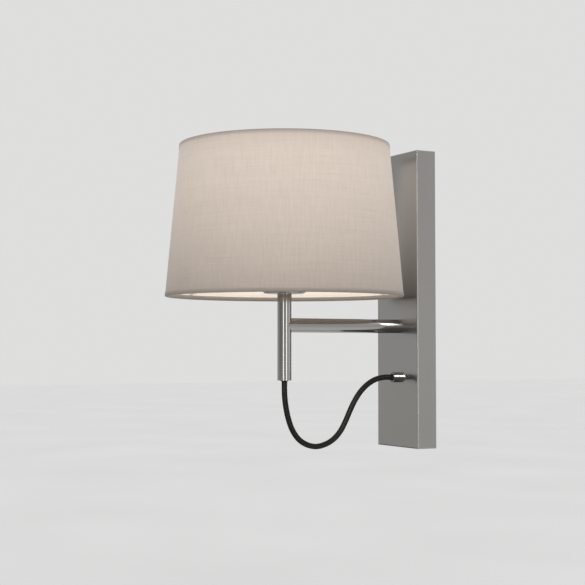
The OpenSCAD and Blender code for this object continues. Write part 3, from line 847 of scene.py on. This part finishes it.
def liner(name):
    """Smooth styrene liner inside the shade, warm white, with a faint print of the cloth behind it, a
    painted glow, and a painted dark reflection.
    """
    s = Shader(name)
    slubs = weave_height(s, 330.0, 3300.0)[1]
    print_through = s.ramp(slubs, (0.31, (0.68, 0.65, 0.605)), (0.69, (0.73, 0.70, 0.66)))
    # painted reflection: metal sees the liner in a much darker colour
    ray = s.node("ShaderNodeLightPath").outputs["Is Glossy Ray"]
    s.into(Base_Color=s.blend("MIX", s.maths("MULTIPLY", ray, 0.85), print_through, (0.12, 0.10, 0.085, 1)))
    s.into(Roughness=s.ramp(slubs, (0.31, 0.42), (0.69, 0.5)))
    s.set(IOR=1.45)
    s.into(Normal=s.bump(slubs, 0.08, 0.0002))
    # painted glow stands in for the bulb's light on the liner; metal sees little of it
    s.glow(s.ramp(slubs, (0.31, (0.375, 0.34, 0.294)), (0.69, (0.405, 0.37, 0.326))), 1.0, (0.1, 0.1, 0.1))
    return s.material


def glowing(name, colour, strength):
    """Opal glass or a light source that is on. Its own face shows less bright than the light it gives."""
    s = Shader(name)
    cloud = s.noise(40.0, 3, 0.5)
    s.into(Base_Color=s.ramp(cloud, (0.3, (0.86, 0.85, 0.83)), (0.7, (0.92, 0.91, 0.90))))
    s.into(Roughness=s.ramp(cloud, (0.3, 0.22), (0.7, 0.14)))
    # painted reflection: metal sees the glow dimmed to a small share
    s.glow(s.ramp(cloud, (0.3, shade_of(colour, 0.97)), (0.7, colour)), strength, (0.15, 0.15, 0.15), 0.2)
    return s.material


def foam(name):
    """Grey foam with open cells."""
    s = Shader(name)
    cells = s.node("ShaderNodeTexVoronoi", feature="F1")
    cells.inputs["Scale"].default_value = 1300.0
    s.link(s.place, cells.inputs["Vector"])
    depth = cells.outputs["Distance"]
    s.into(Base_Color=s.ramp(depth, (0.1, (0.62, 0.62, 0.60)), (0.6, (0.80, 0.80, 0.78))))
    s.set(Roughness=0.95)
    s.into(Normal=s.bump(depth, 0.5, 0.0004))
    return s.material


NICKEL = (0.556, 0.545, 0.524)
FINISHES = {
    "satin_nickel": brushed_metal("satin_nickel", NICKEL, 0.22, (4200, 4200, 16), 0.012),
    "polished_nickel": plain_metal("polished_nickel", (0.50, 0.485, 0.46), 0.09, 90.0, 0.03),
    "zinc_steel": plain_metal("zinc_steel", (0.60, 0.61, 0.62), 0.36, 45.0, 0.25),
    "blackened_steel": plain_metal("blackened_steel", (0.06, 0.06, 0.065), 0.34, 70.0, 0.2),
    "brass": plain_metal("brass", (0.66, 0.47, 0.21), 0.28, 80.0, 0.15),
    "black_nylon": moulded("black_nylon", (0.018, 0.018, 0.019), 0.42),
    "white_plastic": moulded("white_plastic", (0.74, 0.735, 0.715), 0.36, 0.0, 0.12, 0.1),
    "core_insulation": moulded("core_insulation", (0.16, 0.075, 0.045), 0.45),
    "braided_flex": hidden_braid("braided_flex_hidden"),
    "foam_pad": foam("foam_pad"),
    "shade_linen": linen("shade_linen"),
    "shade_liner": liner("shade_liner"),
    "hem_tape": tape("hem_tape"),
    "white_wire": moulded("white_wire", (0.78, 0.775, 0.76), 0.32, 0.0, 0.1),
    "opal_glass": glowing("opal_glass", (1.0, 0.86, 0.70), 2.6),
    "cap_metal": plain_metal("cap_metal", (0.66, 0.65, 0.62), 0.25, 120.0, 0.15),
    "light_source": glowing("light_source", (1.0, 0.80, 0.55), 3.0),
}


def dress(piece, material):
    piece.data.materials.clear()
    piece.data.materials.append(material)


def dress_node(node, material):
    slots = NODES[node].data.materials
    if not slots:
        slots.append(material)
    for i in range(len(slots)):
        slots[i] = material


def dress_everything():
    for part in frame["record"]["subparts"]:
        dress_node(part["node"], FINISHES[part["material_slot"]])
    dress_node("arm", brushed_metal("satin_nickel_arm", NICKEL, 0.12, (4200, 16, 4200), 0.0))
    dress_node("stem", brushed_metal("satin_nickel_stem", NICKEL, 0.12, (4200, 4200, 16), 0.0))
    dress(FLEX, braided("braided_flex_woven"))
    for piece, finish in (
            (CLOTH, "shade_linen"), (HEM_LOW, "hem_tape"), (HEM_TOP, "hem_tape"), (WELDS, "white_wire"),
            (SKIRT, "white_plastic"), (RING, "white_plastic"), (CUP, "satin_nickel"), (GLASS, "opal_glass"),
            (CAP, "cap_metal"), (GLAND, "polished_nickel"), (COLLAR, "black_nylon"), (BUSH, "black_nylon")):
        dress(piece, FINISHES[finish])


dress_everything()


# ---------------------------------------------------------------- stage and light

FLOOR_Z = -1.1
FLOOR_HALF = 40.0


def make_floor():
    """Pale floor. Metal sees it with a painted reflection, darker in bands in front of the wall and without
    its glow.
    """
    mesh = bpy.data.meshes.new("floor")
    corners = ((-1, -1), (1, -1), (1, 1), (-1, 1))
    mesh.from_pydata([(x * FLOOR_HALF, y * FLOOR_HALF, FLOOR_Z) for x, y in corners], [], [(0, 1, 2, 3)])
    floor = bpy.data.objects.new("floor", mesh)
    bpy.context.scene.collection.objects.link(floor)
    s = Shader("floor_plaster")
    cloud = s.noise(0.8, 4, 0.5)
    paint = s.ramp(cloud, (0.3, (0.80, 0.80, 0.795)), (0.7, (0.83, 0.83, 0.825)))
    # painted reflection: bands of darker colour by Y that only metal sees
    towards_wall = s.maths("MULTIPLY", s.maths("ADD", s.split()["Y"], 4.0), 0.222)
    room = s.ramp(towards_wall, (0.0, 1.0), (0.25, 1.0), (0.42, 0.22),
                  (0.82, 0.16), (0.92, 1.18), (1.0, 1.18))
    ray = s.node("ShaderNodeLightPath").outputs["Is Glossy Ray"]
    s.into(Base_Color=s.blend("MIX", ray, paint, s.blend("MULTIPLY", 1.0, paint, room)))
    s.glow(s.ramp(cloud, (0.3, 0.30), (0.7, 0.32)), 1.0, (0, 0, 0))
    s.set(Roughness=0.9)
    floor.data.materials.append(s.material)


ROOM_BANDS = (
    ("Y", ((0.0, 0.20), (0.075, 0.34), (0.26, 0.45), (0.5, 0.52), (0.70, 0.74), (1.0, 0.74))),
    ("X", ((0.0, 1.0), (0.66, 1.0), (0.90, 0.70), (1.0, 0.70))),
    ("Z", ((0.0, 1.05), (0.46, 1.06), (0.50, 0.98), (0.56, 0.87), (1.0, 0.90))))


def make_world():
    """A pale room, lighter towards the wall than towards the room in front. The eye sees it plain."""
    world = bpy.data.worlds.new("studio")
    bpy.context.scene.world = world
    world.use_nodes = True
    tree = world.node_tree
    tree.nodes.clear()
    out = tree.nodes.new("ShaderNodeOutputWorld")
    back = tree.nodes.new("ShaderNodeBackground")
    place = tree.nodes.new("ShaderNodeTexCoord")
    split = tree.nodes.new("ShaderNodeSeparateXYZ")
    tree.links.new(place.outputs["Generated"], split.inputs["Vector"])
    bands = []
    for axis, stops in ROOM_BANDS:
        spread = tree.nodes.new("ShaderNodeMapRange")
        spread.inputs["From Min"].default_value = -1.0
        spread.inputs["From Max"].default_value = 1.0
        band = tree.nodes.new("ShaderNodeValToRGB")
        ramp = band.color_ramp
        ramp.elements[0].position, ramp.elements[0].color = stops[0][0], grey(stops[0][1])
        ramp.elements[1].position, ramp.elements[1].color = stops[-1][0], grey(stops[-1][1])
        for at, value in stops[1:-1]:
            ramp.elements.new(at).color = grey(value)
        tree.links.new(split.outputs[axis], spread.inputs["Value"])
        tree.links.new(spread.outputs["Result"], band.inputs["Fac"])
        bands.append(band.outputs["Color"])
    room = bands[0]
    for band in bands[1:]:
        both = tree.nodes.new("ShaderNodeMix")
        both.data_type = "RGBA"
        both.blend_type = "MULTIPLY"
        both.inputs["Factor"].default_value = 1.0
        tree.links.new(room, both.inputs[6])
        tree.links.new(band, both.inputs[7])
        room = both.outputs[2]
    seen = tree.nodes.new("ShaderNodeMix")
    seen.data_type = "RGBA"
    seen.inputs[7].default_value = grey((0.735, 0.735, 0.73))
    tree.links.new(tree.nodes.new("ShaderNodeLightPath").outputs["Is Camera Ray"], seen.inputs["Factor"])
    tree.links.new(room, seen.inputs[6])
    tree.links.new(seen.outputs[2], back.inputs["Color"])
    tree.links.new(back.outputs["Background"], out.inputs["Surface"])


def add_softbox(name, place, aim, size, watts, mirrored, colour=(1, 0.99, 0.975)):
    """A softbox that either lights the cloth and paint, or is only mirrored in metal."""
    data = bpy.data.lights.new(name, "AREA")
    data.shape = "RECTANGLE"
    data.size, data.size_y = size
    data.energy = watts
    data.color = colour
    light = bpy.data.objects.new(name, data)
    light.location = place
    light.visible_glossy = mirrored
    light.visible_diffuse = not mirrored
    light.rotation_euler = (Vector(aim) - Vector(place)).to_track_quat("-Z", "Y").to_euler()
    bpy.context.scene.collection.objects.link(light)


CAMERA_BEARING = -27.84
STRIP_AWAY = 2.4
STRIP_Z = -0.11


def add_strip(name, bearing, size, watts):
    """A softbox that draws one bright line down the stem, at a bearing counted from the camera's side."""
    a = math.radians(CAMERA_BEARING + bearing)
    place = (STRIP_AWAY * math.cos(a), STEM_Y + STRIP_AWAY * math.sin(a), STRIP_Z)
    add_softbox(name, place, (0, STEM_Y, STRIP_Z - 0.1), size, watts, True)


make_floor()
make_world()
add_strip("strip_left", -15.5, (0.55, 0.55), 1.6)
add_strip("strip_right", 33, (0.60, 0.55), 1.55)
add_softbox("overhead", (1.79, -1.36, 1.06), (0, -0.03, -0.06), (0.7, 0.7), 34, True)
add_softbox("front", (2.0, -1.25, 0.5), (0, -0.15, 0.05), (1.2, 1.2), 23, False)
bpy.context.scene.view_settings.view_transform = "Standard"
